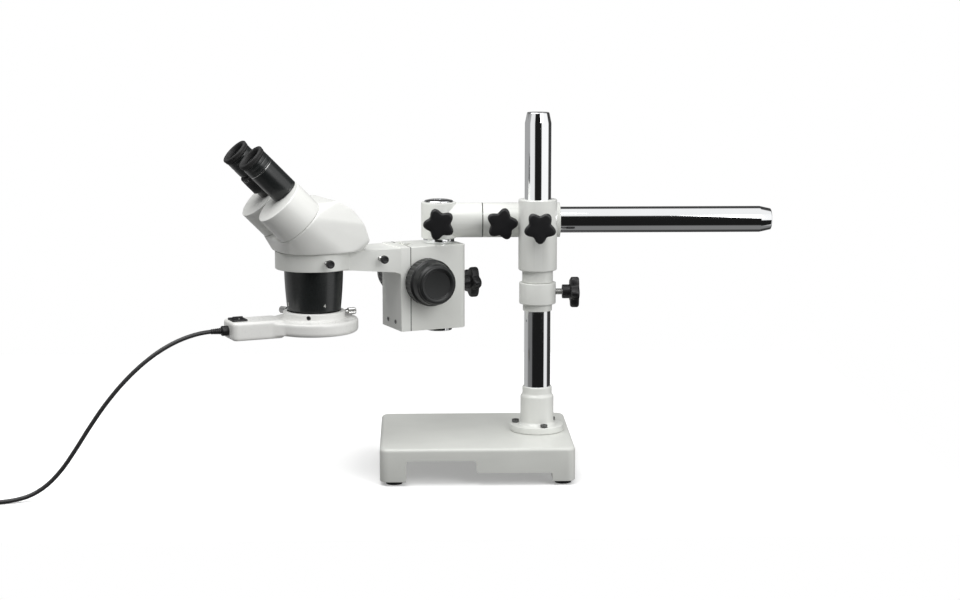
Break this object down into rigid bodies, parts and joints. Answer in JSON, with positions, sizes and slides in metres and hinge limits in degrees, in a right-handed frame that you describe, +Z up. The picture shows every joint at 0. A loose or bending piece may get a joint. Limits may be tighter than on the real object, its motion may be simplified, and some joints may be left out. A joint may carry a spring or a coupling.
{
  "type": "stereo microscope",
  "caption": "Binocular stereo microscope with ring light, hung from a horizontal boom rod on a pillar stand with a heavy base, rack focus and clamp knobs.",
  "frame": {"origin": "middle of the footprint of the object without its lead, on the table", "axes": "+X along the boom to its free end, +Y away from the bench's front, +Z up"},
  "size_m": [0.9997, 0.2836, 0.435],
  "materials": {
    "base_enamel": "satin light grey textured enamel",
    "stand_enamel": "satin off-white enamel",
    "head_enamel": "satin off-white enamel",
    "chrome_rod": "polished",
    "steel": "satin",
    "black_plastic": "satin",
    "black_anodised": "satin black",
    "black_rubber": "matte",
    "cord_jacket": "satin",
    "glass": "polished",
    "white_plastic": "satin",
    "lamp_tube": "frosted white diffuser"
  },
  "bodies": {
    "stand": {"base": "base_enamel", "foot_front_left": "black_rubber", "foot_front_right": "black_rubber", "foot_rear_left": "black_rubber", "foot_rear_right": "black_rubber", "pillar_flange": "stand_enamel", "flange_screw_1": "steel", "flange_screw_2": "steel", "flange_screw_3": "steel", "pillar": "chrome_rod"},
    "collar": {"safety_collar": "stand_enamel"},
    "collar_clamp": {"collar_knob": "black_plastic", "collar_stud": "steel"},
    "cross_block": {"cross_block": "stand_enamel"},
    "pillar_clamp": {"pillar_clamp_knob": "black_plastic", "pillar_clamp_stud": "steel"},
    "boom_clamp": {"boom_clamp_knob": "black_plastic", "boom_clamp_stud": "steel"},
    "boom": {"boom_bar": "chrome_rod"},
    "knuckle": {"boom_knuckle": "stand_enamel"},
    "pin_clamp": {"pin_clamp_knob": "black_plastic", "pin_clamp_stud": "steel"},
    "focus_block": {"focus_housing": "head_enamel", "mounting_pin": "chrome_rod", "pin_cap": "chrome_rod"},
    "block_clamp": {"block_clamp_knob": "black_plastic"},
    "focus_drive": {"pinion_shaft": "steel", "focus_knob_right": "black_plastic", "focus_knob_left": "black_plastic"},
    "carriage": {"carriage": "head_enamel", "focus_rack": "steel"},
    "carriage_screw": {"carriage_thumbscrew": "black_plastic"},
    "ring_screw": {"ring_thumbscrew": "black_plastic"},
    "head": {"head_body": "head_enamel"},
    "ocular_right": {"prism_housing_right": "head_enamel", "prism_right": "glass", "eyetube_right": "black_anodised", "eyepiece_right": "black_anodised", "eyecup_right": "black_rubber", "eye_lens_right": "glass"},
    "ocular_left": {"prism_housing_left": "head_enamel", "prism_left": "glass", "eyetube_left": "black_anodised"},
    "diopter": {"diopter_ring": "black_anodised"},
    "left_eyepiece": {"eyepiece_left": "black_anodised", "eyecup_left": "black_rubber", "eye_lens_left": "glass"},
    "turret": {"turret": "black_anodised", "objective_right": "black_anodised", "objective_left": "black_anodised"},
    "lamp": {"ring_light_housing": "white_plastic", "ring_lamp": "lamp_tube", "cord_gland": "black_rubber", "power_cord": "cord_jacket", "cord_coil": "cord_jacket", "plug": "black_plastic"},
    "lamp_screw_right": {"lamp_thumbscrew_right": "steel"},
    "lamp_screw_left": {"lamp_thumbscrew_left": "steel"},
    "lamp_screw_front": {"lamp_set_screw": "steel"},
    "switch": {"rocker_switch": "black_plastic"}
  },
  "joints": [
    {"name": "collar_height", "type": "slide", "parent": "stand", "child": "collar", "axis": [0, 0, 1], "range_m": [-0.085, 0.095]},
    {"name": "collar_clamp", "type": "hinge", "parent": "collar", "child": "collar_clamp", "pos_m": [0.0501, 0, 0.217], "axis": [1, 0, 0], "range_deg": [0, 180]},
    {"name": "boom_swivel", "type": "hinge", "parent": "collar", "child": "cross_block", "pos_m": [0.0501, 0, 0], "axis": [0, 0, 1], "range_deg": [-180, 180]},
    {"name": "pillar_clamp", "type": "hinge", "parent": "cross_block", "child": "pillar_clamp", "pos_m": [0.0501, 0, 0.3005], "axis": [0, -1, 0], "range_deg": [0, 180]},
    {"name": "boom_clamp", "type": "hinge", "parent": "cross_block", "child": "boom_clamp", "pos_m": [0.0067, 0.039, 0.3005], "axis": [0, -1, 0], "range_deg": [0, 180]},
    {"name": "boom_extend", "type": "slide", "parent": "cross_block", "child": "boom", "axis": [1, 0, 0], "range_m": [-0.2, 0]},
    {"name": "boom_roll", "type": "hinge", "parent": "boom", "child": "knuckle", "pos_m": [0.0501, 0.039, 0.3005], "axis": [1, 0, 0], "range_deg": [-45, 45]},
    {"name": "pin_clamp", "type": "hinge", "parent": "knuckle", "child": "pin_clamp", "pos_m": [-0.0694, 0.039, 0.3005], "axis": [0, -1, 0], "range_deg": [0, 180]},
    {"name": "head_swing", "type": "hinge", "parent": "knuckle", "child": "focus_block", "pos_m": [-0.0694, 0.039, 0.2], "axis": [0, 0, 1], "range_deg": [-100, 80]},
    {"name": "block_clamp", "type": "hinge", "parent": "focus_block", "child": "block_clamp", "pos_m": [-0.0694, 0.039, 0.2216], "axis": [0.9239, 0.3827, 0], "range_deg": [0, 180]},
    {"name": "focus_travel", "type": "slide", "parent": "focus_block", "child": "carriage", "axis": [0, 0, 1], "range_m": [-0.03, 0.007]},
    {"name": "focus_drive", "type": "hinge", "parent": "focus_block", "child": "focus_drive", "pos_m": [-0.09804, 0.02714, 0.231], "axis": [-0.3827, 0.9239, 0], "range_deg": [-290, 70]},
    {"name": "carriage_screw", "type": "hinge", "parent": "carriage", "child": "carriage_screw", "pos_m": [-0.15255, 0.00456, 0.262], "axis": [0.3827, -0.9239, 0], "range_deg": [0, 180]},
    {"name": "ring_screw", "type": "hinge", "parent": "carriage", "child": "ring_screw", "pos_m": [-0.22055, -0.02361, 0.262], "axis": [0.3827, -0.9239, 0], "range_deg": [0, 180]},
    {"name": "head_turn", "type": "hinge", "parent": "carriage", "child": "head", "pos_m": [-0.22055, -0.02361, 0.262], "axis": [0, 0, 1], "range_deg": [-40, 40]},
    {"name": "ipd_right", "type": "hinge", "parent": "head", "child": "ocular_right", "pos_m": [-0.23399, -0.06354, 0.3097], "axis": [0.6533, 0.2706, -0.7071], "range_deg": [0, 45]},
    {"name": "ipd_left", "type": "hinge", "parent": "head", "child": "ocular_left", "pos_m": [-0.25829, -0.00487, 0.3097], "axis": [-0.6533, -0.2706, 0.7071], "range_deg": [0, 45]},
    {"name": "diopter_turn", "type": "hinge", "parent": "ocular_left", "child": "diopter", "pos_m": [-0.27021, -0.01712, 0.34661], "axis": [-0.6533, -0.2706, 0.7071], "range_deg": [-60, 60]},
    {"name": "diopter_lift", "type": "slide", "parent": "ocular_left", "child": "left_eyepiece", "axis": [-0.6533, -0.2706, 0.7071], "range_m": [-0.0026, 0.0026]},
    {"name": "turret_turn", "type": "hinge", "parent": "head", "child": "turret", "pos_m": [-0.22055, -0.02361, 0.225], "axis": [0, 0, 1], "range_deg": [0, 90]},
    {"name": "lamp_turn", "type": "hinge", "parent": "turret", "child": "lamp", "pos_m": [-0.22055, -0.02361, 0.19], "axis": [0, 0, 1], "range_deg": [-100, 10], "deforming": ["power_cord", "cord_coil", "plug"]},
    {"name": "lamp_screw_right", "type": "hinge", "parent": "lamp", "child": "lamp_screw_right", "pos_m": [-0.22055, -0.02361, 0.1952], "axis": [0.9239, 0.3827, 0], "range_deg": [0, 180]},
    {"name": "lamp_screw_left", "type": "hinge", "parent": "lamp", "child": "lamp_screw_left", "pos_m": [-0.22055, -0.02361, 0.1952], "axis": [-0.7934, 0.6088, 0], "range_deg": [0, 180]},
    {"name": "lamp_set_screw", "type": "hinge", "parent": "lamp", "child": "lamp_screw_front", "pos_m": [-0.22055, -0.02361, 0.1952], "axis": [-0.1305, -0.9914, 0], "range_deg": [0, 180]},
    {"name": "switch_rock", "type": "hinge", "parent": "lamp", "child": "switch", "pos_m": [-0.30924, -0.06035, 0.19], "axis": [0.9239, 0.3827, 0], "range_deg": [-8, 8]}
  ],
  "couplings": [
    {"joint": "focus_drive", "follows": "focus_travel", "rad_per_m": 166.67},
    {"joint": "ipd_left", "follows": "ipd_right", "ratio": 1},
    {"joint": "diopter_lift", "follows": "diopter_turn", "m_per_rad": 0.0024}
  ]
}
